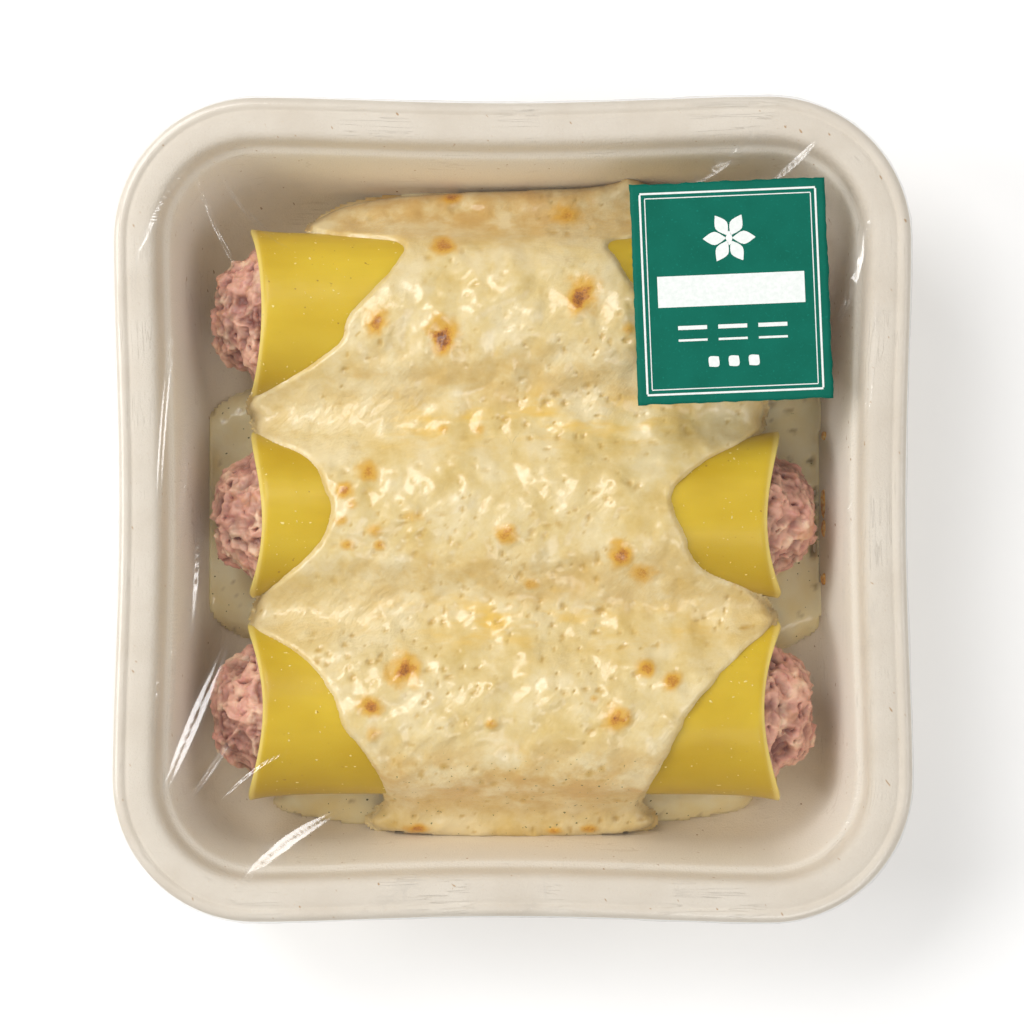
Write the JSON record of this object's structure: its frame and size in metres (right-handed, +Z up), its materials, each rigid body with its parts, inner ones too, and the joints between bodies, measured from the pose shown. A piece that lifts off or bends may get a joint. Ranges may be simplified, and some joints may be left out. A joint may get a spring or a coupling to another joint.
{
  "type": "cannelloni ready meal",
  "caption": "Filled pasta tubes under browned cheese sauce in a square moulded-fibre tray, closed by a clear film with a plain green label.",
  "frame": {"origin": "middle of the tray's underside", "axes": "+Z up out of the tray, +X along the pasta tubes, +Y across them towards the tubes' side nearest the label"},
  "size_m": [0.182, 0.188, 0.0475],
  "materials": {
    "moulded_fibre": "matte moulded plant fibre, fine grain",
    "cooked_pasta": "smooth, slightly waxy egg pasta",
    "minced_ham": "moist coarse pink mince",
    "cheese_sauce": "glossy melted cheese sauce with browned spots",
    "thin_sauce": "wet thin cream sauce",
    "clear_film": "clear glossy stretched film",
    "label_paper": "satin printed paper, dark green"
  },
  "bodies": {
    "root": {"tray": "moulded_fibre", "pasta_tube_1": "cooked_pasta", "pasta_tube_2": "cooked_pasta", "pasta_tube_3": "cooked_pasta", "filling_1": "minced_ham", "filling_2": "minced_ham", "filling_3": "minced_ham", "cheese_sauce": "cheese_sauce", "sauce_pool": "thin_sauce", "film": "clear_film", "label": "label_paper"}
  },
  "joints": []
}
